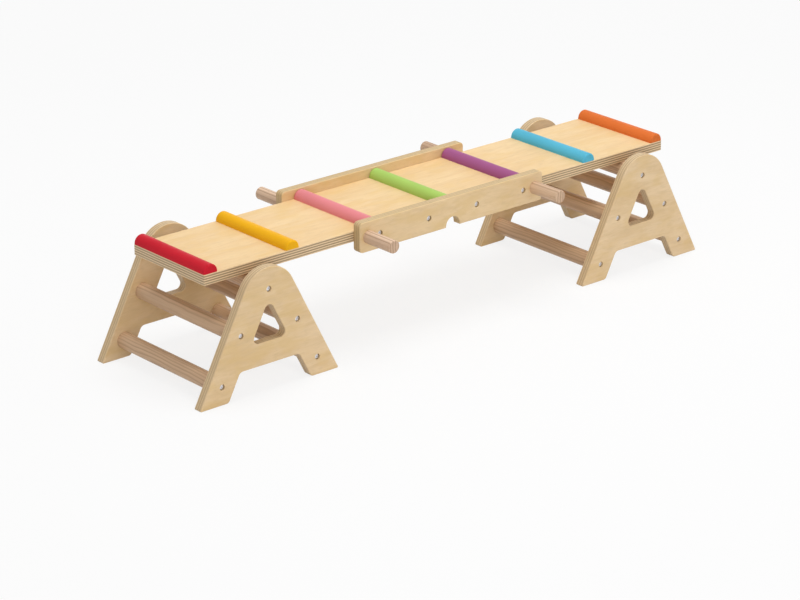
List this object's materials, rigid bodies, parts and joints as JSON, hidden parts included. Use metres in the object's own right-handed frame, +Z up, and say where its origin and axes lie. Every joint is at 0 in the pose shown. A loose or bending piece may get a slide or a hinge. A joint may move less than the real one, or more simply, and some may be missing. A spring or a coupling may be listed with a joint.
{
  "type": "balance rocker",
  "caption": "Toddlers' plywood balance board with painted half-round grip strips, notched cheeks and peg handles, laid as a bridge on A-frame trestles with dowel rungs",
  "frame": {"origin": "on the floor, under the middle of the board", "axes": "+X along the board towards its orange end, +Y to the rear, +Z up"},
  "size_m": [1.2034, 0.376, 0.2405],
  "materials": {
    "board_plywood": "clear satin varnish",
    "cheek_plywood": "clear satin varnish",
    "side_plywood": "clear satin varnish",
    "dowel_timber": "clear satin varnish",
    "red_paint": "satin paint",
    "yellow_paint": "satin paint",
    "pink_paint": "satin paint",
    "green_paint": "satin paint",
    "purple_paint": "satin paint",
    "blue_paint": "satin paint",
    "orange_paint": "satin paint",
    "steel": "zinc plated",
    "brass": "turned"
  },
  "bodies": {
    "left_trestle": {"left_trestle_top_dowel": "dowel_timber", "left_trestle_middle_outer_dowel": "dowel_timber", "left_trestle_middle_inner_dowel": "dowel_timber", "left_trestle_lower_outer_dowel": "dowel_timber", "left_trestle_lower_inner_dowel": "dowel_timber", "left_trestle_front_side": "side_plywood", "left_trestle_front_bolts": "steel", "left_trestle_front_inserts": "brass", "left_trestle_rear_side": "side_plywood", "left_trestle_rear_bolts": "steel", "left_trestle_rear_inserts": "brass"},
    "right_trestle": {"right_trestle_top_dowel": "dowel_timber", "right_trestle_middle_outer_dowel": "dowel_timber", "right_trestle_middle_inner_dowel": "dowel_timber", "right_trestle_lower_outer_dowel": "dowel_timber", "right_trestle_lower_inner_dowel": "dowel_timber", "right_trestle_front_side": "side_plywood", "right_trestle_front_bolts": "steel", "right_trestle_front_inserts": "brass", "right_trestle_rear_side": "side_plywood", "right_trestle_rear_bolts": "steel", "right_trestle_rear_inserts": "brass"},
    "board_assembly": {"board": "board_plywood", "grip_strip_red": "red_paint", "grip_strip_yellow": "yellow_paint", "grip_strip_pink": "pink_paint", "grip_strip_green": "green_paint", "grip_strip_purple": "purple_paint", "grip_strip_blue": "blue_paint", "grip_strip_orange": "orange_paint", "strip_screws": "steel", "front_cheek": "cheek_plywood", "front_left_handle": "dowel_timber", "front_right_handle": "dowel_timber", "front_cheek_bolts": "steel", "rear_cheek": "cheek_plywood", "rear_left_handle": "dowel_timber", "rear_right_handle": "dowel_timber", "rear_cheek_bolts": "steel", "barrel_nuts": "steel"}
  },
  "joints": [
    {"name": "board_tilt", "type": "hinge", "parent": "left_trestle", "child": "board_assembly", "pos_m": [-0.45, 0, 0.187], "axis": [0, -1, 0], "range_deg": [0, 45]},
    {"name": "right_trestle_shift", "type": "slide", "parent": "left_trestle", "child": "right_trestle", "axis": [1, 0, 0], "range_m": [-0.19, 0.08]}
  ]
}
